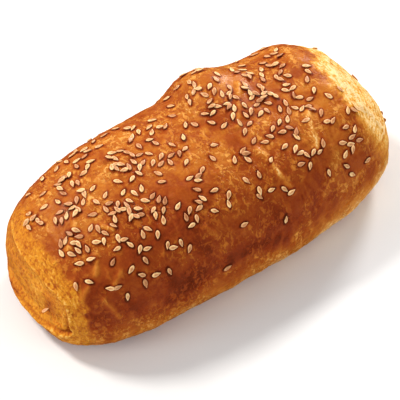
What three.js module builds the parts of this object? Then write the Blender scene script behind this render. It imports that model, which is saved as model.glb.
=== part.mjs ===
// A baked cheese pastry: a stuffed oblong of laminated dough, folded shut at its two ends and strewn with
// sesame seeds. Units are millimetres. +X runs along the pastry, +Y towards its back and +Z up. The origin
// is on the tray that it was baked on, below the middle of its bounding box.

import * as THREE from "three";
import { mergeVertices } from "three/addons/utils/BufferGeometryUtils.js";

const { lerp, smoothstep } = THREE.MathUtils;

// Driving dimensions of the crust
const LENGTH = 140.5;
const WIDTH = 69;
const HEIGHT = 45.5; // of the plain form, before the swellings are added
const WAIST = 14; // height at which the sides stand furthest out
const UNDERCUT = 19.5; // how far the lower half would reach below the waist if the tray didn't flatten it
const SQUARE_NEAR = 3.6; // exponent of the outline along the pastry at its -X end: the higher, the squarer
const SQUARE_FAR = 4.0; // the same at its +X end
const NEAR_SLANT = 1.8; // how far the -X end is pulled in at the back and let out at the front
const FAR_SLANT = 1.6; // the same of the +X end
const BELLY = { x: 16, spread: 26, out: 1.5 }; // where its sides stand out further
const ROUND_ACROSS = 2.4; // exponent of the section across it: 2 is an ellipse

// Facets of the crust
const STEPS_ALONG = 38;
const STEPS_ACROSS = 30;
const STEPS_UP = 21;

// Where steam lifted the lid: by so much at x, y, spreading so far before and after x and to both sides of y
const SWELLINGS = [
  { x: 14, before: 8, after: 15, y: 24, aside: 21, lift: 6.5 },
  { x: 53, before: 15, after: 17, y: 16, aside: 28, lift: 2.6 },
  { x: -32, before: 16, after: 16, y: 18, aside: 26, lift: 1.6 },
];

// The fold that shuts an end: a flap, in a pocket whose upper and lower lip meet in a corner to one side.
// Each lip is a quarter of an oval about the pocket's middle. The far end's corner is at the back.
const NEAR_POCKET = { end: -1, upperLip: 14.5, lowerLip: 7, depth: 2.8 };
const FAR_POCKET = { end: 1, upperLip: 13, lowerLip: 7, depth: 2.4 };
const POCKET_MIDDLE = { y: 13, z: 14 };
const POCKET_REACH = 33; // from the middle to the corner
const UPPER_SQUARE = 4.5; // exponent of the upper lip: 2 is an ellipse, and the higher, the squarer
const LOWER_SQUARE = 2; // exponent of the lower lip
const POCKET_END = { start: 12, end: 27 }; // where along Y the pocket fades out
const LIP_ROUNDING = 4.5; // over how many millimetres a lip turns in
const LOWER_LIP_OUT = 1.4; // how far the lower lip stands out past the rest of the end
const FLAP_BULGE = 0.7; // share of the pocket's depth that the flap fills again towards the middle
const DIMPLE = { y: -9.2, z: 15.5, depth: 1.6, spread: 4 }; // in the near end's flap, where a seed sank in

// Sesame seeds
const SEED_COUNT = 59;
const SEED_LENGTH = 3.2;
const SEED_WIDTH = 1.95;
const SEED_THICKNESS = 0.95;
const SEED_TAPER = 0.5; // share of its width that a seed has lost at its tip
const SEED_SIDES = 8;
const SEED_RINGS = 5;
const SEED_GAP = 0.1; // between a seed and the crust
const SEED_SPACING = 5.2; // between the middles of two seeds
const SEED_SIZE_SPREAD = 0.12;
const SEED_STREAM = 7;
const END_SEED = { y: -8.5, z: 14.5, turn: -0.5, lean: 0.8 };

const crustMaterial = new THREE.MeshStandardMaterial({ color: 0xb5651d, roughness: 0.45, metalness: 0 });
const seedMaterial = new THREE.MeshStandardMaterial({ color: 0xf0c896, roughness: 0.5, metalness: 0 });

// A repeatable stream of numbers from 0 to 1.
function randomStream(state) {
  return () => {
    state = (state + 0x6d2b79f5) | 0;
    let mixed = Math.imul(state ^ (state >>> 15), 1 | state);
    mixed = (mixed + Math.imul(mixed ^ (mixed >>> 7), 61 | mixed)) ^ mixed;
    return ((mixed ^ (mixed >>> 14)) >>> 0) / 4294967296;
  };
}

function bell(distance, spread) {
  return Math.exp(-((distance / spread) ** 2));
}

// How far the lid has lifted above the plain form at x, y.
function lift(x, y) {
  let sum = 0;
  for (const swelling of SWELLINGS) {
    const spread = x < swelling.x ? swelling.before : swelling.after;
    sum += swelling.lift * bell(x - swelling.x, spread) * bell(y - swelling.y, swelling.aside);
  }
  return sum;
}

// How far inside an oval about the origin a point lies, in millimetres.
function insideOval(y, z, reachY, reachZ, square) {
  const across = Math.abs(y) / reachY;
  const up = Math.abs(z) / reachZ;
  const share = (across ** square + up ** square) ** (1 / square);
  const slope = Math.hypot(across ** (square - 1) / reachY, up ** (square - 1) / reachZ);
  return ((1 - share) * share ** (square - 1)) / slope;
}

// How far an end is pushed in at y, z by the pocket of its fold.
function pocketDepth(pocket, y, z) {
  const turned = -pocket.end * y;
  const aside = Math.min(0, turned - POCKET_MIDDLE.y);
  const up = z - POCKET_MIDDLE.z;
  const inside =
    up > 0
      ? insideOval(aside, up, POCKET_REACH, pocket.upperLip, UPPER_SQUARE)
      : insideOval(aside, up, POCKET_REACH, pocket.lowerLip, LOWER_SQUARE);
  const open = smoothstep(inside, 0, LIP_ROUNDING);
  const fading = 1 - smoothstep(turned, POCKET_END.start, POCKET_END.end);
  const flap = FLAP_BULGE * smoothstep(inside, 1, 8);
  const lowerLip = LOWER_LIP_OUT * smoothstep(-up, 1, 9);
  return pocket.depth * open * fading * (1 - flap) - lowerLip;
}

// How far the near end is pushed in at y, z by its dimple.
function dimpleDepth(y, z) {
  return DIMPLE.depth * bell(Math.hypot(y - DIMPLE.y, z - DIMPLE.z), DIMPLE.spread);
}

// Carries a point of a cube's surface, each coordinate from -1 to 1, to the crust.
function inflate(point) {
  const powers = Math.abs(point.y) ** ROUND_ACROSS + Math.abs(point.z) ** ROUND_ACROSS;
  const across = powers ** (1 / ROUND_ACROSS);
  const square = lerp(SQUARE_NEAR, SQUARE_FAR, smoothstep(point.x, -0.4, 0.4));
  const reach = (Math.abs(point.x) ** square + across ** square) ** (1 / square);
  point.divideScalar(reach);

  const slant = NEAR_SLANT * smoothstep(-point.x, 0, 1) - FAR_SLANT * smoothstep(point.x, 0, 1);
  const x = (point.x * LENGTH) / 2 + slant * point.y;
  const y = point.y * (WIDTH / 2 + BELLY.out * bell(x - BELLY.x, BELLY.spread));
  const rise = point.z > 0 ? HEIGHT - WAIST + lift(x, y) : UNDERCUT;
  const z = Math.max(0, WAIST + point.z * rise);

  const pocket = x < 0 ? NEAR_POCKET : FAR_POCKET;
  const dimple = x < 0 ? dimpleDepth(y, z) : 0;
  const pushedIn = (pocketDepth(pocket, y, z) + dimple) * smoothstep(Math.abs(point.x), 0.85, 0.95);
  point.set(x - pocket.end * pushedIn, y, z);
}

function makeCrust() {
  const box = new THREE.BoxGeometry(2, 2, 2, STEPS_ALONG, STEPS_ACROSS, STEPS_UP);
  box.deleteAttribute("normal");
  box.deleteAttribute("uv");
  const geometry = mergeVertices(box);
  const position = geometry.getAttribute("position");
  const point = new THREE.Vector3();
  for (let i = 0; i < position.count; i++) {
    inflate(point.fromBufferAttribute(position, i));
    position.setXYZ(i, point.x, point.y, point.z);
  }
  geometry.computeVertexNormals();
  const crust = new THREE.Mesh(geometry, crustMaterial);
  crust.name = "pastry";
  return crust;
}

// A flattened drop, its length along X with the tip at +X and its thickness along Z.
function makeSeedGeometry() {
  const geometry = new THREE.SphereGeometry(0.5, SEED_SIDES, SEED_RINGS);
  geometry.rotateZ(-Math.PI / 2);
  const position = geometry.getAttribute("position");
  for (let i = 0; i < position.count; i++) {
    const x = position.getX(i);
    const width = SEED_WIDTH * (1 - SEED_TAPER * smoothstep(x, -0.2, 0.5));
    position.setXYZ(i, x * SEED_LENGTH, position.getY(i) * width, position.getZ(i) * SEED_THICKNESS);
  }
  return geometry;
}

// How thickly the seeds fell at x along the pastry and at an angle round it: 0 at the top, negative in front.
function seedDensity(x, angle) {
  const crest = bell(angle + 0.1, 0.75);
  const strays = 0.15 * bell(angle, 1.3);
  const ends = smoothstep(x, -68, -55) * (1 - smoothstep(x, 42, 66));
  return (crest + strays) * ends;
}

// The least distance from the seed down to the crust, against the normal.
function clearance(seed, crust, normal) {
  const position = seed.geometry.getAttribute("position");
  const down = normal.clone().negate();
  let least = Infinity;
  for (let i = 0; i < position.count; i++) {
    const corner = new THREE.Vector3().fromBufferAttribute(position, i).applyMatrix4(seed.matrixWorld);
    const [hit] = new THREE.Raycaster(corner, down).intersectObject(crust);
    if (hit) least = Math.min(least, hit.distance);
  }
  return least;
}

// Lays a seed on the crust where the line from start to target meets it first, its tip leaning into the dough.
function laySeed(seed, crust, start, target, turn, lean) {
  const direction = target.clone().sub(start).normalize();
  const [hit] = new THREE.Raycaster(start, direction).intersectObject(crust);
  const normal = hit.face.normal;
  seed.quaternion.setFromUnitVectors(new THREE.Vector3(0, 0, 1), normal);
  seed.rotateZ(turn);
  seed.rotateY(lean);
  seed.position.copy(hit.point).addScaledVector(normal, SEED_LENGTH);
  seed.updateMatrixWorld();
  seed.position.addScaledVector(normal, SEED_GAP - clearance(seed, crust, normal));
}

// The seed that fell into the near end's pocket.
function makeEndSeed(crust) {
  const seed = new THREE.Mesh(makeSeedGeometry(), seedMaterial);
  const target = new THREE.Vector3(0, END_SEED.y, END_SEED.z);
  const start = target.clone().setX(-LENGTH);
  laySeed(seed, crust, start, target, END_SEED.turn, END_SEED.lean);
  return seed;
}

function strewSeeds(crust, count) {
  const geometry = makeSeedGeometry();
  const random = randomStream(SEED_STREAM);
  const seeds = [];
  while (seeds.length < count) {
    const x = (random() - 0.5) * LENGTH;
    const angle = (random() - 0.5) * Math.PI;
    const turn = random() * 2 * Math.PI;
    const size = 1 + (random() - 0.5) * 2 * SEED_SIZE_SPREAD;
    if (random() > seedDensity(x, angle)) continue;

    const seed = new THREE.Mesh(geometry, seedMaterial);
    seed.scale.setScalar(size);
    const target = new THREE.Vector3(x, 0, WAIST);
    const start = target.clone().add(new THREE.Vector3(0, WIDTH * Math.sin(angle), WIDTH * Math.cos(angle)));
    laySeed(seed, crust, start, target, turn, 0);
    const crowded = seeds.some((other) => other.position.distanceTo(seed.position) < SEED_SPACING);
    if (!crowded) seeds.push(seed);
  }
  return seeds;
}

const crust = makeCrust();
const seeds = [makeEndSeed(crust), ...strewSeeds(crust, SEED_COUNT - 1)];
seeds.forEach((seed, index) => {
  seed.name = "sesame_seed_" + String(index + 1).padStart(2, "0");
});

const pastry = new THREE.Group();
pastry.add(crust, ...seeds);

const bounds = new THREE.Box3().setFromObject(pastry);
const middle = bounds.getCenter(new THREE.Vector3());
pastry.position.set(-middle.x, -middle.y, 0);

export default pastry;
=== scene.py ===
"""A baked cheese pastry strewn with sesame seeds, on a pale floor under soft studio light.

The frame is the part's: +X along the pastry, +Y towards its back, +Z up, in metres. The crust's own shape
is worked out in millimetres, in arrays with a row or a value for each of its points.
"""

import math
import random

import bmesh
import bpy
import numpy as np
from mathutils import Matrix, Vector, kdtree, noise
from mathutils.bvhtree import BVHTree


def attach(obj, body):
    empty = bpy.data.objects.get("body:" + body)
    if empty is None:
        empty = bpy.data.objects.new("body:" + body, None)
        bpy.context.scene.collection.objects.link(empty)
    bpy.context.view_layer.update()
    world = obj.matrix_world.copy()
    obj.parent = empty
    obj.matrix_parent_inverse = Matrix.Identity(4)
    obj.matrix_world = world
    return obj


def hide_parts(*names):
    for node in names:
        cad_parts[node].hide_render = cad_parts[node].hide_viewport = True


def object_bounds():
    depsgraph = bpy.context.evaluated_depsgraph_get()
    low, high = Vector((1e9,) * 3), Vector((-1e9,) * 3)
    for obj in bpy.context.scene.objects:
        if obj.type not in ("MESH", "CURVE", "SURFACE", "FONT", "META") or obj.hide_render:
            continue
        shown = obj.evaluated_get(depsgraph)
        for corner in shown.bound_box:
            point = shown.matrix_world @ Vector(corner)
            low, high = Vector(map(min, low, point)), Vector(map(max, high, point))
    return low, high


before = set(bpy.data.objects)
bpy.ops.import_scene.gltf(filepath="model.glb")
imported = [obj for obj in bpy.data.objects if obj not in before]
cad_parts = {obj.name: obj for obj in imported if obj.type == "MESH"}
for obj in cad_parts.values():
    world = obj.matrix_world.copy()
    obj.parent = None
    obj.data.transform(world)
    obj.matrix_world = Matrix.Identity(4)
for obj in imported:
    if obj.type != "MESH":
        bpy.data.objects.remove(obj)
cad_low, cad_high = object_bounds()

MM = 0.001
NEAR, FAR = -1, 1  # the pastry's two ends, each by the sign of its x

# The crust
FACET = 0.5 * MM
SMOOTHING_PASSES = 8
END_X = 71  # mm from the middle to either end
WAIST_Z = 14  # mm above the floor, where the sides stand furthest out

# The sizes of its swells and streaks, in mm
BROAD_SIZE = 20
SWELL_SIZE = 7
BLISTER_SIZE = 2.8
LAYER_SIZE = 1.6
STROKE_SIZE = 1.6

# How brown its parts are baked, from 0 to 1
SKIN_BROWNING = 0.53
NEAR_DOUGH_BROWNING = 0.34
FAR_DOUGH_BROWNING = 0.05
BASE_BROWNING = 0.7

# The folds that shut the ends, in mm: each is a pocket, whose lips are quarter ovals about its middle.
POCKET_MIDDLE_Y = 13
POCKET_REACH = 33
UPPER_LIP = {NEAR: 14.5, FAR: 13}
UPPER_SQUARE = 4.5  # exponent of the upper lip's oval: 2 is an ellipse, and the higher, the squarer
LOWER_LIP = 7
LOWER_SQUARE = 2
CORNER_Y = -20  # where the lips of the near end's pocket meet: the far end's is turned round
CORNER_DEPTH = 1.6
LIP_INSIDE = -0.9  # how far inside the pocket's edge the top of its lip runs
LIP_WIDTH = 0.8
LIP_HEIGHT = 0.6
CREASE_INSIDE = 0.4
CREASE_DEPTH = 0.4
CORNER_CREASE_DEPTH = 1.0  # added to it by the corner
INNER_RIDGE_INSIDE = 2.4

# The browned dimple in the near end, in mm, that a seed fell into
DIMPLE_Y = -10.6
DIMPLE_Z = 18
DIMPLE_WIDTH = 2.8
DIMPLE_HEIGHT = 5

# Where the lid's brown skin ends and what lies near its edge, in mm
SKIN_REACH = {NEAR: 57, FAR: 53}  # from the pastry's middle, where the skin reaches least
RIDGE_PAST_SKIN = 5.5
RIDGE_WIDTH = 1.4
SHOULDER_X = 52

# How the lid rises and sinks along the back of its hump, in mm: at x, spreading so far, by so much
HUMP = [(6, 5.5, -1.3), (20, 6.5, 1.5), (39, 9, -1.0)]

# Single wrinkles of the skin, each from one point in mm to another
WRINKLE_WIDTH = 1.05
WRINKLES = [
    ((26, 10, 47), (14, -5, 46.4)),
    ((14.5, -15.6, 43.8), (15.6, -23.6, 40)),
    ((15.6, -23.6, 40), (18.3, -30.7, 33.4)),
    ((38.5, -12.6, 44), (35.5, -18.5, 42)),
    ((35.5, -18.5, 42), (32.8, -24.3, 39)),
    ((-16.3, -27, 36.6), (-14.2, -29.8, 33.4)),
    ((-46.5, -10, 43.2), (-44.4, -12.9, 42.6)),
    ((-51.2, -1.5, 42.5), (-53.9, -4.7, 41.6)),
    ((-56.8, -7, 40.3), (-59.5, -9.3, 38.7)),
    ((-53.1, -16.4, 39.2), (-56.5, -20.1, 35.8)),
    ((-49.5, -24.1, 35.3), (-53.2, -25.7, 32.1)),
    ((-60.2, -21.1, 32.8), (-63.4, -22, 28.7)),
    ((-57.3, -26, 28.7), (-54.3, -30, 20.7)),
]

# The seeds
SEED_LENGTH = 3.05 * MM
SEED_WIDTH = 1.55 * MM
SEED_THICKNESS = 0.9 * MM
STREWN_SEEDS = 290
FAR_END_SEEDS = 6
MOST_IN_CLUMP = 5
SEEDS_FROM = -64 * MM  # where along the pastry they begin
APART = 1.65 * MM  # the least between the middles of two seeds
HEAPED = 2.4 * MM  # between their middles when one rests on the edge of the other
HEAPED_RISE = 0.45  # share of its thickness by which the upper one then lies higher
SUNK = 0.2  # share of its thickness that a seed has sunk into the glaze
STEEP = 0.3  # how far its tip may point out of the crust before it counts as leaning
LEANING_RISE = 0.4  # share of its length by which a leaning seed stands out
GLAZE_AND_SHADE_REACH = 1.7  # how far the darker ring of egg wash and painted contact shade round a seed reaches, where 1 is the seed's edge

# Where most seeds fell: x in mm and the angle round the pastry, 0 at its top and negative in front
DRIFTS = [(-46, -0.15), (-36, 0.25), (-6, -0.6), (14, -0.2), (26, 0.1)]
DRIFT_LENGTH = 10
DRIFT_WIDTH = 0.2

# The camera
CAMERA_DISTANCE = 0.9
CAMERA_AZIMUTH = math.radians(-37.3)
CAMERA_ELEVATION = math.radians(50)
FRAME_WIDTH = 0.137  # of what the camera takes in at the pastry's middle
CAMERA_ASIDE = 1.4 * MM  # how far to the right of the pastry's middle it aims, as it sees it
CAMERA_BELOW = 7.5 * MM  # how far below the middle
SENSOR_WIDTH = 36  # mm


# Plain mathematics


def smoothstep(value, low, high):
    share = np.clip((np.asarray(value, float) - low) / (high - low), 0, 1)
    return share * share * (3 - 2 * share)


def bell(distance, spread):
    return np.exp(-((np.asarray(distance, float) / spread) ** 2))


def sample_noise(mm, size, seed, octaves=2, distortion=0.0):
    """Noise from about -1 to 1 at points in mm, whose swells are size mm apart."""
    shift = Vector((seed * 13.7, seed * -7.3, seed * 3.1))
    values = np.empty(len(mm))
    for index, point in enumerate(mm / size):
        place = Vector(point) + shift
        if distortion:
            place += distortion * noise.noise_vector(place * 0.7)
        values[index] = noise.fractal(place, 1.0, 2.0, octaves)
    return values


def sample_streaks(mm, across, size, length, seed):
    """Noise in streaks: swells are size mm apart as the value across grows, and length mm otherwise."""
    stretched = mm / length
    stretched[:, 0] += across / size
    return sample_noise(stretched, 1, seed)


# The crust's shape


def make_crust(node):
    """A finer copy of the CAD crust, with facets of even size."""
    mesh = node.data.copy()
    body = bmesh.new()
    body.from_mesh(mesh)
    bmesh.ops.remove_doubles(body, verts=body.verts, dist=0.001 * MM)
    bmesh.ops.join_triangles(body, faces=body.faces, angle_face_threshold=1.0, angle_shape_threshold=1.0)
    body.to_mesh(mesh)
    body.free()

    crust = bpy.data.objects.new("crust", mesh)
    bpy.context.scene.collection.objects.link(crust)
    rounding = crust.modifiers.new("rounding", "SUBSURF")
    rounding.levels = 2
    facets = crust.modifiers.new("even facets", "REMESH")
    facets.mode = "VOXEL"
    facets.voxel_size = FACET
    smoothing = crust.modifiers.new("smoothing", "SMOOTH")
    smoothing.factor = 0.5
    smoothing.iterations = SMOOTHING_PASSES
    apply_modifiers(crust)
    return crust


def apply_modifiers(piece):
    evaluated = piece.evaluated_get(bpy.context.evaluated_depsgraph_get())
    mesh = bpy.data.meshes.new_from_object(evaluated)
    piece.modifiers.clear()
    piece.data = mesh


def read_points(mesh):
    points = np.empty(len(mesh.vertices) * 3)
    mesh.vertices.foreach_get("co", points)
    return points.reshape(-1, 3)


def read_normals(mesh):
    normals = np.empty(len(mesh.vertices) * 3)
    mesh.vertex_normals.foreach_get("vector", normals)
    return normals.reshape(-1, 3)


def note(mesh, name, values):
    """Keeps a value for each point, for the material to read."""
    layer = mesh.attributes.new(name, "FLOAT", "POINT")
    layer.data.foreach_set("value", np.asarray(values, float))


def inside_oval(across, up, reach_across, reach_up, square):
    """How many mm inside an oval about the origin points lie."""
    across = np.abs(across) / reach_across
    up = np.abs(up) / reach_up
    share = (across**square + up**square) ** (1 / square)
    slope = np.hypot(across ** (square - 1) / reach_across, up ** (square - 1) / reach_up)
    return (1 - share) * share ** (square - 1) / np.maximum(slope, 1e-9)


def from_line(mm, start, stop):
    """How many mm from the line between two points each point lies."""
    start = np.array(start, float)
    along = np.array(stop, float) - start
    share = np.clip((mm - start) @ along / (along @ along), 0, 1)
    return np.linalg.norm(mm - start - share[:, None] * along, axis=1)


class Dough:
    """What the crust is like at its points: each value is an array with one number for each point."""

    def __init__(self, mesh):
        self.mm = read_points(mesh) / MM
        self.normals = read_normals(mesh)
        self.x, self.y, self.z = self.mm.T
        self.near = self.x < 0
        self.upwards = self.normals[:, 2]
        self.base = smoothstep(-self.upwards, 0.6, 0.95)
        self.broad = sample_noise(self.mm, BROAD_SIZE, 1)
        self.swells = sample_noise(self.mm, SWELL_SIZE, 2, distortion=0.6)
        self.blisters = sample_noise(self.mm, BLISTER_SIZE, 3, octaves=3, distortion=1.1)
        self.measure_folds()
        self.measure_ends()
        self.measure_marks()

    def measure_folds(self):
        # The far end's fold is the near one's turned round, so its sides are swapped.
        self.aside = np.where(self.near, self.y, -self.y)
        across = np.minimum(0, self.aside - POCKET_MIDDLE_Y)
        up = self.z - WAIST_Z
        upper_lip = np.where(self.near, UPPER_LIP[NEAR], UPPER_LIP[FAR])
        inside_upper = inside_oval(across, up, POCKET_REACH, upper_lip, UPPER_SQUARE)
        inside_lower = inside_oval(across, up, POCKET_REACH, LOWER_LIP, LOWER_SQUARE)
        self.inside = np.where(up > 0, inside_upper, inside_lower) + 0.6 * self.swells
        self.from_lip = self.inside - 0.9 * (END_X - np.abs(self.x)) + 0.8 * self.swells
        self.pocket = smoothstep(self.inside, -0.5, 1.5)
        self.lips = bell(self.inside - LIP_INSIDE, LIP_WIDTH)

    def by_corner(self, spread):
        """How near, from 0 to 1, points are to the corner in which the lips of their end's fold meet."""
        return bell(np.hypot(self.aside - CORNER_Y, self.z - WAIST_Z), spread)

    def measure_ends(self):
        """Where the brown skin gives way to the pale dough of the ends: 0 is skin and 1 is dough."""
        to_front = smoothstep(-self.y, -18, -2)
        low = 1 - smoothstep(self.z, 8, 18)
        near_reach = SKIN_REACH[NEAR] + 7.5 * to_front - 2 * low
        behind = smoothstep(self.y, 0, 10)
        in_front = smoothstep(-self.y, 18, 28)
        low = 1 - smoothstep(self.z, 12, 26)
        far_reach = SKIN_REACH[FAR] + 5 * behind + 6 * in_front + 6 * low
        self.past_skin = np.abs(self.x) - np.where(self.near, near_reach, far_reach)
        ragged = 2.5 * self.broad + 2 * self.swells + 1.4 * self.blisters
        softness = np.where(self.near, 1.5, 1.7 + 4.5 * smoothstep(-self.y, 14, 28))
        self.ends = smoothstep(self.past_skin + ragged, -softness, softness)

    def measure_marks(self):
        """The layers, strokes, wrinkles and ridge of the dough, and the dimple in the near end."""
        open_rim = 1 - self.near * smoothstep(self.y, -8, 8)
        self.rim = self.ends * (1 - self.pocket) * open_rim
        self.layers = sample_streaks(self.mm, self.from_lip, LAYER_SIZE, 12, 4)
        strokes = sample_streaks(self.mm, self.x + 1.5 * self.swells, STROKE_SIZE, 6, 5)
        creased = smoothstep(self.broad + 0.6 * self.swells, -0.2, 0.5) * (1 - self.base)
        self.raised = smoothstep(strokes, 0.25, 0.6) * (1 - self.ends) * creased
        self.wrinkles = np.zeros(len(self.mm))
        for start, stop in WRINKLES:
            away = from_line(self.mm, start, stop) + 0.6 * self.blisters
            self.wrinkles = np.maximum(self.wrinkles, bell(away, WRINKLE_WIDTH))
        along_ridge = bell(self.past_skin - RIDGE_PAST_SKIN + 0.8 * self.swells, RIDGE_WIDTH)
        self.ridge = ~self.near * along_ridge * smoothstep(self.upwards, 0.1, 0.5)
        across = (self.y - DIMPLE_Y) / DIMPLE_WIDTH
        up = (self.z - DIMPLE_Z) / DIMPLE_HEIGHT
        self.dimple = self.near * bell(np.hypot(across, up), 1)

    def outward(self):
        """How far, in mm, the baked crust stands out along its normals."""
        texture = 0.4 * self.broad + 0.25 * self.swells + 0.14 * self.blisters
        marks = 0.14 * self.rim * self.layers + 0.16 * self.raised + 0.7 * self.wrinkles
        shoulder = bell(self.x - SHOULDER_X, 6) * smoothstep(self.upwards, 0.2, 0.7)
        behind = smoothstep(self.y, 8, 20) * smoothstep(self.z, 22, 34)
        hump = behind * sum(rise * bell(self.x - x, spread) for x, spread, rise in HUMP)
        return (texture + marks + 0.5 * self.ridge + 0.9 * shoulder + hump) * (1 - self.base)

    def endward(self):
        """How far, in mm, the lips and creases of the folds stand out of the ends, along x."""
        lip = LIP_HEIGHT * self.lips
        depth = CREASE_DEPTH + CORNER_CREASE_DEPTH * self.by_corner(5)
        crease = depth * bell(self.inside - CREASE_INSIDE, 0.6)
        inner_ridge = 0.4 * self.by_corner(8) * bell(self.inside - INNER_RIDGE_INSIDE, 0.8)
        open_side = 1 - smoothstep(self.aside, 5, 16)
        corner = CORNER_DEPTH * self.by_corner(1.6)
        relief = open_side * (lip - crease + inner_ridge) - corner
        return np.sign(self.x) * smoothstep(np.abs(self.x), 60, 66) * relief

    def browning(self):
        """How brown the crust is baked, from 0 to 1, with painted shade in the creases of the folds and
        painted light on their lips, on the far ridge, on the wrinkles and along the lower margin.
        """
        skin = self.skin_browning_and_painted_light()
        brown = skin + (self.dough_browning_and_painted_light() - skin) * self.ends
        return brown + (BASE_BROWNING - brown) * self.base

    def skin_browning_and_painted_light(self):
        front = smoothstep(-self.normals[:, 1], 0.0, 0.75)
        side = 1 - smoothstep(self.upwards, 0.0, 0.8)
        back = smoothstep(self.y, 16, 26)
        before_far_end = 1 - smoothstep(self.x, 0, 58)
        by_near_end = smoothstep(-self.x, 42, 60)
        # Painted light, with some paler baking: the lower margin is paler, as the floor's light would make
        # it, more towards the far end and less behind.
        margin = (1 - smoothstep(self.z, 4, 24)) * (0.48 + 0.17 * smoothstep(self.x, -40, 30))
        margin *= 1 - 0.4 * smoothstep(self.y, 5, 25)
        browner = 0.1 * side + (0.22 * front + 0.07 * back) * before_far_end + 0.07 * front * by_near_end
        # The wrinkles are paler: thinner egg wash on their crests, and painted highlight.
        paler = margin + 0.14 * self.raised + 0.28 * self.wrinkles
        return SKIN_BROWNING + browner - paler + 0.06 * self.broad

    def dough_browning_and_painted_light(self):
        scorched = 1 - smoothstep(self.z, 2, 6)
        low = 1 - smoothstep(self.z, 20, 36)
        in_near = 0.12 * smoothstep(self.y, -6, 14) + 0.05 * self.rim + 0.34 * self.dimple + 0.3 * scorched
        # On the far end the ridge is paler: paler dough, and painted highlight along its crest.
        in_far = 0.1 * smoothstep(self.y, -6, 12) + 0.16 * low - 0.1 * self.ridge
        # Painted shade: the creases of the folds are darker, most of all by the corner where the lips
        # meet.
        creases = (0.15 + 0.3 * self.by_corner(4)) * bell(self.inside - CREASE_INSIDE, 0.7)
        mean = np.where(self.near, NEAR_DOUGH_BROWNING + in_near, FAR_DOUGH_BROWNING + in_far)
        # Painted highlight: the tops of the folds' lips are paler.
        return mean + creases - 0.14 * self.lips


def shape_crust(crust):
    """Moves the crust's points to their baked shape and notes what its material needs at each."""
    mesh = crust.data
    dough = Dough(mesh)
    moved = dough.mm + dough.normals * dough.outward()[:, None]
    moved[:, 0] += dough.endward()
    moved[:, 2] = np.maximum(moved[:, 2], 0)
    mesh.vertices.foreach_set("co", (moved * MM).ravel())
    mesh.update()
    note(mesh, "browning", dough.browning())
    note(mesh, "ends", dough.ends)
    note(mesh, "rim", dough.rim)
    note(mesh, "from lip", dough.from_lip)


# The seeds


def make_seed_mesh(name, stream):
    """A sesame seed: a flat drop with its tip at +X, its broad face up and hollow within a fine rim."""
    body = bmesh.new()
    bmesh.ops.create_uvsphere(body, u_segments=16, v_segments=10, radius=0.5)
    lean = stream.uniform(-0.1, 0.1)
    hollow = stream.uniform(0.25, 0.45)
    glazed_and_shaded = []
    for corner in body.verts:
        x, y, z = corner.co.z, corner.co.y, -corner.co.x
        girth = 1 - 0.62 * float(smoothstep(x, -0.15, 0.55))
        from_middle = math.hypot(y, x * 0.8) * 2
        flat = 1 - hollow * max(0.0, 1 - from_middle**2) if z > 0 else 1
        corner.co = (x * SEED_LENGTH, (y * girth + lean * x * x) * SEED_WIDTH, z * flat * SEED_THICKNESS)
        # Painted shade: each seed is darker on its underside where it meets the crust, with some egg wash
        # there, and in the middle of its broad face, which leaves its rim looking lit.
        glazed_and_shaded.append(0.6 * float(smoothstep(-z, -0.2, 0.1)) + 0.4 * float(bell(from_middle - 0.1, 0.4)))
    mesh = bpy.data.meshes.new(name)
    body.to_mesh(mesh)
    body.free()
    mesh.shade_smooth()
    toasted = max(0.0, stream.gauss(0.1, 0.12))
    note(mesh, "toasted", np.array(glazed_and_shaded) + toasted)
    return mesh


def plain_tree(node):
    """The CAD crust, to cast lines at."""
    corners = [corner.co for corner in node.data.vertices]
    return BVHTree.FromPolygons(corners, [tuple(facet.vertices) for facet in node.data.polygons])


class Crust:
    """The shaped crust, for seeds to lie on.

    Which seeds find room is settled on the CAD crust, so the shaped crust's texture has no say in it.
    """

    def __init__(self, piece, node):
        self.plain = plain_tree(node)
        self.tree = BVHTree.FromObject(piece, bpy.context.evaluated_depsgraph_get())
        self.points = kdtree.KDTree(len(piece.data.vertices))
        for vertex in piece.data.vertices:
            self.points.insert(vertex.co, vertex.index)
        self.points.balance()
        self.glaze = np.zeros(len(piece.data.vertices))
        self.laid = []

    def has_room(self, place):
        return all((place - other).length > APART for other in self.laid)

    def flatten(self, direction, place):
        """A direction, turned to run along the crust at place."""
        _, normal, _, _ = self.tree.find_nearest(place)
        return (direction - normal * direction.dot(normal)).normalized()

    def lay(self, seed, place, along, stream):
        """Lays a seed mesh at place with its tip in the direction along, and darkens the crust round it
        with egg wash and painted contact shade.
        """
        heaped = any((place - other).length < HEAPED for other in self.laid)
        self.laid.append(place)
        place, normal, _, _ = self.tree.find_nearest(place)
        steepness = abs(along.dot(normal))
        broadside = Vector((0, 0, 1)) if steepness > STEEP else normal
        up = (broadside - along * along.dot(broadside)).normalized()
        upright = Matrix((along, up.cross(along), up)).transposed().to_4x4()
        tilt = stream.gauss(0, 0.25 if heaped else 0.06)
        height = SEED_THICKNESS * (0.5 - SUNK + HEAPED_RISE * heaped)
        height += SEED_LENGTH * LEANING_RISE * steepness
        pose = Matrix.Translation(place + normal * height) @ upright @ Matrix.Rotation(tilt, 4, "X")
        seed.transform(pose @ Matrix.Scale(stream.uniform(0.9, 1.08), 4))
        self.note_glaze_and_shade_ring(place, upright)

    def note_glaze_and_shade_ring(self, place, upright):
        """Notes the darker ring round a seed: egg wash pooled there, and painted contact shade."""
        to_seed = (Matrix.Translation(place) @ upright).inverted()
        for point, index, _ in self.points.find_range(place, SEED_LENGTH):
            local = to_seed @ point
            reach = math.hypot(local.x / (SEED_LENGTH / 2), local.y / (SEED_WIDTH / 2))
            self.glaze[index] = max(self.glaze[index], 1 - float(smoothstep(reach, 1.0, GLAZE_AND_SHADE_REACH)))


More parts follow.
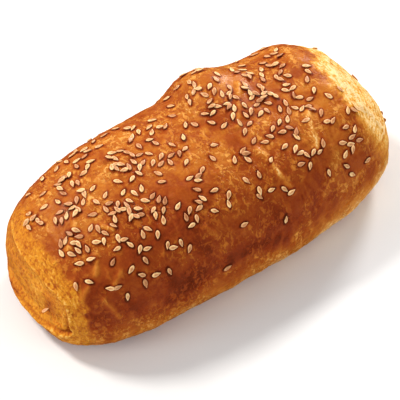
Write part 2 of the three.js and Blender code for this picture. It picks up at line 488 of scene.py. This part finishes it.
def tip_of_seed(node):
    """The middle of a CAD seed, and the direction its tip points in."""
    corners = np.array([corner.co for corner in node.data.vertices])
    middle = (corners.min(0) + corners.max(0)) / 2
    along, across, _ = np.linalg.svd(corners - corners.mean(0), full_matrices=False)[2]
    lengthwise = (corners - middle) @ along
    widths = np.abs((corners - middle) @ across)
    blunt = np.sign(np.sum(lengthwise * widths))
    return Vector(middle), Vector(-along * blunt).normalized()


def place_cad_seeds(crust, stream):
    """A finer seed in place of each CAD seed."""
    for name, node in sorted(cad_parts.items()):
        if not name.startswith("sesame_seed_"):
            continue
        mesh = make_seed_mesh(name, stream)
        crust.lay(mesh, *tip_of_seed(node), stream)
        seed = bpy.data.objects.new(name.replace("sesame_", ""), mesh)
        bpy.context.scene.collection.objects.link(seed)
        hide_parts(name)
        finish_piece(seed, "sesame")


def seed_density(x, angle):
    """How thickly the seeds fell, from 0 to 1, at x mm along the pastry and an angle round it."""
    crest = smoothstep(angle, -1.5, -0.3) * (1 - smoothstep(angle, 0.35, 0.9))
    ends = smoothstep(x, -70, -48) * (1 - smoothstep(x, 38, 60))
    drift = 0
    for drift_x, drift_angle in DRIFTS:
        drift = max(drift, bell(x - drift_x, DRIFT_LENGTH) * bell(angle - drift_angle, DRIFT_WIDTH))
    return crest * ends * (0.45 + 0.55 * drift)


def strew_clump(stream):
    """Where the seeds of one clump fell: for each a point outside the crust and the way in from it."""
    while True:
        x = stream.uniform(-68, 62)
        angle = stream.uniform(-1.5, 1.2)
        if stream.random() < seed_density(x, angle):
            break
    clump = []
    for _ in range(stream.randint(1, MOST_IN_CLUMP)):
        seed_angle = angle + stream.gauss(0, 0.13)
        outwards = Vector((0, math.sin(seed_angle), math.cos(seed_angle)))
        start = Vector((x + stream.gauss(0, 3.8), 0, WAIST_Z)) * MM + outwards * 0.1
        clump.append((start, -outwards))
    return clump


def strew_end(stream):
    """Where the few seeds on the far end fell, as strew_clump says it."""
    inwards = Vector((-1, 0, 0))
    heights = [(stream.uniform(-22, 26), stream.uniform(26, 38)) for _ in range(FAR_END_SEEDS)]
    return [(Vector((100, y, z)) * MM, inwards) for y, z in heights]


def strew_seeds(crust, stream):
    """The many seeds between the CAD ones, in clumps, joined into one piece."""
    body = bmesh.new()
    laid = 0
    lines = strew_end(stream)
    while laid < STREWN_SEEDS:
        if not lines:
            lines = strew_clump(stream)
        start, inwards = lines.pop()
        place, _, _, _ = crust.plain.ray_cast(start, inwards)
        if place is None or place.x < SEEDS_FROM or not crust.has_room(place):
            continue
        turn = stream.uniform(0, 2 * math.pi)
        mesh = make_seed_mesh("strewn", stream)
        aside = inwards.orthogonal().normalized()
        aside.rotate(Matrix.Rotation(turn, 3, inwards))
        crust.lay(mesh, place, crust.flatten(aside, place), stream)
        body.from_mesh(mesh)
        bpy.data.meshes.remove(mesh)
        laid += 1
    mesh = bpy.data.meshes.new("strewn_seeds")
    body.to_mesh(mesh)
    body.free()
    mesh.shade_smooth()
    seeds = bpy.data.objects.new("strewn_seeds", mesh)
    bpy.context.scene.collection.objects.link(seeds)
    finish_piece(seeds, "sesame")


# The materials


class Nodes:
    """Short names for building a material's nodes."""

    def __init__(self, name):
        self.material = bpy.data.materials.new(name)
        self.material.use_nodes = True
        self.tree = self.material.node_tree
        self.shader = self.tree.nodes["Principled BSDF"]

    def add(self, kind, inputs=None, **settings):
        node = self.tree.nodes.new(kind)
        for key, value in settings.items():
            setattr(node, key, value)
        for key, value in (inputs or {}).items():
            if isinstance(value, bpy.types.NodeSocket):
                self.tree.links.new(value, node.inputs[key])
            else:
                node.inputs[key].default_value = value
        return node

    def attribute(self, name):
        return self.add("ShaderNodeAttribute", attribute_name=name).outputs["Fac"]

    def coordinate(self, axis):
        """How far along an axis of the object a point lies, in metres."""
        place = self.add("ShaderNodeTexCoord").outputs["Object"]
        return self.add("ShaderNodeSeparateXYZ", {"Vector": place}).outputs[axis]

    def place(self, per_mm):
        """The place on the object, in steps of so many to a millimetre."""
        place = self.add("ShaderNodeTexCoord").outputs["Object"]
        inputs = {0: place, "Scale": per_mm / MM}
        return self.add("ShaderNodeVectorMath", inputs, operation="SCALE").outputs[0]

    def noise(self, per_mm, detail=2.0, distortion=0.0):
        """Noise from 0 to 1 with so many swells to a millimetre."""
        inputs = {"Vector": self.place(per_mm), "Scale": 1.0, "Detail": detail, "Distortion": distortion}
        return self.add("ShaderNodeTexNoise", inputs).outputs["Fac"]

    def streaks(self, across, per_mm, slow_per_mm, detail=2.0, distortion=0.0):
        """Noise in long streaks: it changes fast with the value across, in mm, and slowly otherwise."""
        fast = self.add("ShaderNodeCombineXYZ", {"X": self.math("MULTIPLY", across, per_mm)}).outputs[0]
        inputs = {0: self.place(slow_per_mm), 1: fast}
        vector = self.add("ShaderNodeVectorMath", inputs, operation="ADD").outputs[0]
        inputs = {"Vector": vector, "Scale": 1.0, "Detail": detail, "Distortion": distortion}
        return self.add("ShaderNodeTexNoise", inputs).outputs["Fac"]

    def math(self, operation, first, second):
        return self.add("ShaderNodeMath", {0: first, 1: second}, operation=operation).outputs[0]

    def total(self, values):
        sum_so_far = values[0]
        for value in values[1:]:
            sum_so_far = self.math("ADD", sum_so_far, value)
        return sum_so_far

    def span(self, value, low, high, to_low=0.0, to_high=1.0):
        inputs = {"Value": value, "From Min": low, "From Max": high, "To Min": to_low, "To Max": to_high}
        return self.add("ShaderNodeMapRange", inputs, interpolation_type="SMOOTHSTEP").outputs["Result"]

    def ramp(self, value, stops):
        node = self.add("ShaderNodeValToRGB", {"Fac": value})
        elements = node.color_ramp.elements
        while len(elements) < len(stops):
            elements.new(0.5)
        for element, (position, color) in zip(elements, stops):
            element.position = position
            element.color = (*color, 1)
        return node.outputs["Color"]

    def mix(self, share, first, second):
        """The first colour where share is 0, the second where it is 1."""
        node = self.add("ShaderNodeMix", {"Factor": share}, data_type="RGBA")
        first_socket, second_socket = [socket for socket in node.inputs if socket.type == "RGBA"]
        self.tree.links.new(first, first_socket)
        self.tree.links.new(second, second_socket)
        return next(socket for socket in node.outputs if socket.type == "RGBA")

    def bump(self, height, strength, depth):
        """Bump of so many metres, added to the bump so far."""
        inputs = {"Height": height, "Strength": strength, "Distance": depth}
        normal = self.shader.inputs["Normal"]
        if normal.links:
            inputs["Normal"] = normal.links[0].from_socket
        self.tree.links.new(self.add("ShaderNodeBump", inputs).outputs["Normal"], normal)

    def shade(self, **values):
        """Sets the shader's own inputs, each to a value or to another node's output."""
        for key, value in values.items():
            socket = self.shader.inputs[key.replace("_", " ")]
            if isinstance(value, bpy.types.NodeSocket):
                self.tree.links.new(value, socket)
            else:
                socket.default_value = value


# How the brown skin and the paler dough of the ends colour as they bake
SKIN_COLORS = [
    (0.0, (0.90, 0.55, 0.22)),
    (0.2, (0.70, 0.29, 0.055)),
    (0.4, (0.50, 0.148, 0.018)),
    (0.6, (0.35, 0.070, 0.010)),
    (0.8, (0.25, 0.035, 0.007)),
    (1.0, (0.11, 0.015, 0.004)),
]
DOUGH_COLORS = [
    (0.0, (0.94, 0.64, 0.30)),
    (0.12, (0.86, 0.47, 0.110)),
    (0.3, (0.68, 0.27, 0.020)),
    (0.5, (0.52, 0.155, 0.012)),
    (0.75, (0.34, 0.066, 0.008)),
    (1.0, (0.12, 0.020, 0.005)),
]


def make_crust_material():
    nodes = Nodes("baked crust")
    ends = nodes.attribute("ends")
    skin = nodes.math("SUBTRACT", 1.0, ends)
    rim = nodes.attribute("rim")
    along = nodes.math("MULTIPLY", nodes.coordinate("X"), 1 / MM)
    layers = nodes.streaks(nodes.attribute("from lip"), 1.3, 0.25, detail=4.0)
    mottle = nodes.noise(0.16, detail=5.0, distortion=1.0)
    flecks = nodes.span(nodes.streaks(along, 0.3, 0.4, detail=3.0, distortion=1.0), 0.54, 0.61)
    spots = nodes.span(nodes.noise(0.6, detail=3.0, distortion=0.6), 0.54, 0.61)
    grain = nodes.noise(1.3, detail=3.0)
    flecked = nodes.span(nodes.noise(0.1), 0.38, 0.58)
    raised = nodes.math("MULTIPLY", nodes.math("MAXIMUM", flecks, spots), flecked)

    on_skin = nodes.total([
        nodes.span(nodes.noise(0.06, detail=3.0, distortion=1.0), 0.35, 0.65, -0.08, 0.08),
        nodes.span(mottle, 0.4, 0.6, 0.06, -0.06),
        nodes.math("MULTIPLY", raised, -0.23),
    ])
    on_dough = nodes.total([
        nodes.span(mottle, 0.35, 0.65, 0.05, -0.05),
        nodes.math("MULTIPLY", spots, 0.2),
        nodes.math("MULTIPLY", nodes.span(layers, 0.35, 0.6, 0.12, -0.07), rim),
        nodes.span(grain, 0.35, 0.65, 0.05, -0.05),
    ])
    browning = nodes.total([
        nodes.attribute("browning"),
        nodes.math("MULTIPLY", on_skin, skin),
        nodes.math("MULTIPLY", on_dough, ends),
        nodes.span(grain, 0.3, 0.7, 0.03, -0.03),
        # The ring round each seed: egg wash and painted contact shade, darker on the skin than on the
        # dough.
        nodes.math("MULTIPLY", nodes.attribute("glaze"), nodes.span(ends, 0.0, 1.0, 0.4, 0.15)),
    ])
    roughness = nodes.span(nodes.noise(0.3, detail=4.0), 0.35, 0.65, 0.26, 0.48)
    nodes.shade(
        Base_Color=nodes.mix(ends, nodes.ramp(browning, SKIN_COLORS), nodes.ramp(browning, DOUGH_COLORS)),
        Roughness=nodes.total([roughness, nodes.math("MULTIPLY", ends, 0.12)]),
        Specular_IOR_Level=0.13,
        Specular_Tint=(1.0, 0.62, 0.3, 1.0),
        Subsurface_Weight=0.08,
        Subsurface_Radius=(1.0, 0.4, 0.15),
        Subsurface_Scale=0.8 * MM,
    )
    nodes.bump(nodes.math("MULTIPLY", layers, rim), 0.6, 0.4 * MM)
    nodes.bump(raised, 0.8, 0.16 * MM)
    nodes.bump(nodes.math("MULTIPLY", grain, nodes.span(ends, 0.0, 1.0, 0.5, 1.0)), 1.0, 0.25 * MM)
    nodes.bump(nodes.noise(3.0), 0.3, 0.06 * MM)
    return nodes.material


def make_seed_material():
    nodes = Nodes("sesame")
    patches = nodes.span(nodes.noise(0.8), 0.3, 0.7, -0.1, 0.1)
    # Each seed's own toast, with the painted shade of its underside and the middle of its face.
    toasted = nodes.total([nodes.attribute("toasted"), patches])
    colors = [(0.0, (0.96, 0.64, 0.29)), (0.35, (0.63, 0.275, 0.11)), (0.9, (0.26, 0.062, 0.016))]
    nodes.shade(
        Base_Color=nodes.ramp(toasted, colors),
        Roughness=nodes.span(nodes.noise(1.5), 0.3, 0.7, 0.35, 0.5),
        Specular_IOR_Level=0.35,
        Subsurface_Weight=0.1,
        Subsurface_Radius=(1.0, 0.6, 0.3),
        Subsurface_Scale=0.5 * MM,
    )
    nodes.bump(nodes.noise(4.0), 0.3, 0.05 * MM)
    return nodes.material


def make_floor_material():
    nodes = Nodes("studio floor")
    grain = nodes.noise(0.02)
    nodes.shade(
        Base_Color=nodes.ramp(grain, [(0.0, (0.86, 0.86, 0.855)), (1.0, (0.9, 0.9, 0.895))]),
        Roughness=0.8,
    )
    return nodes.material


MATERIALS = {}


def finish_piece(piece, slot):
    """Gives a piece its material and its place in the model."""
    piece.data.materials.clear()
    piece.data.materials.append(MATERIALS[slot])
    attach(piece, "root")


# The studio


def make_floor():
    bpy.ops.mesh.primitive_plane_add(size=6)
    floor = bpy.context.object
    floor.name = "floor"
    floor.data.materials.append(make_floor_material())
    floor.visible_glossy = False


def add_lamp(name, place, aim, size, power, color=(1, 1, 1), mirrors=True):
    light = bpy.data.lights.new(name, "AREA")
    light.shape = "DISK"
    light.size = size
    light.energy = power
    light.color = color
    lamp = bpy.data.objects.new(name, light)
    lamp.location = place
    lamp.rotation_euler = (Vector(aim) - Vector(place)).to_track_quat("-Z", "Y").to_euler()
    lamp.visible_glossy = mirrors
    bpy.context.scene.collection.objects.link(lamp)


def light_studio(middle):
    """A key lamp behind the pastry, weaker ones round it and a white world. Two of the lamps mirror in the
    glossy crust.
    """
    add_lamp("key", (-0.4, 0.72, 0.98), middle, 0.28, 12, (1, 0.97, 0.93))
    add_lamp("left", (-1.1, 0.3, 0.5), middle, 0.5, 4, mirrors=False)
    add_lamp("right rim", (0.9, 0.5, 0.5), middle, 0.3, 9)
    add_lamp("front", (0.5, -1.0, 0.6), middle, 0.8, 4, mirrors=False)
    world = bpy.data.worlds.new("studio")
    world.use_nodes = True
    world.node_tree.nodes["Background"].inputs["Color"].default_value = (1, 1, 1, 1)
    world.node_tree.nodes["Background"].inputs["Strength"].default_value = 0.5
    world.cycles_visibility.glossy = False
    bpy.context.scene.world = world
    bpy.context.scene.view_settings.view_transform = "Standard"


def add_camera(middle):
    level = math.cos(CAMERA_ELEVATION)
    sine = math.sin(CAMERA_AZIMUTH)
    cosine = math.cos(CAMERA_AZIMUTH)
    back = Vector((sine * level, -cosine * level, math.sin(CAMERA_ELEVATION)))
    right = Vector((cosine, sine, 0))
    up = back.cross(right)
    target = middle + right * CAMERA_ASIDE - up * CAMERA_BELOW

    data = bpy.data.cameras.new("camera")
    data.sensor_width = SENSOR_WIDTH
    data.lens = SENSOR_WIDTH * CAMERA_DISTANCE / FRAME_WIDTH
    data.clip_start = 0.01
    camera = bpy.data.objects.new("camera", data)
    camera.location = target + back * CAMERA_DISTANCE
    camera.rotation_euler = Matrix((right, up, back)).transposed().to_euler()
    bpy.context.scene.collection.objects.link(camera)
    bpy.context.scene.camera = camera


def main():
    stream = random.Random(12)
    noise.seed_set(1)  # noise_vector would otherwise give other values in each run
    MATERIALS["crust"] = make_crust_material()
    MATERIALS["sesame"] = make_seed_material()

    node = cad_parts["pastry"]
    piece = make_crust(node)
    shape_crust(piece)
    piece.data.shade_smooth()
    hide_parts("pastry")
    finish_piece(piece, "crust")

    crust = Crust(piece, node)
    place_cad_seeds(crust, stream)
    strew_seeds(crust, stream)
    note(piece.data, "glaze", crust.glaze)

    make_floor()
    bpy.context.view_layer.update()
    middle = (Vector(cad_low) + Vector(cad_high)) / 2
    light_studio(middle)
    add_camera(middle)


main()
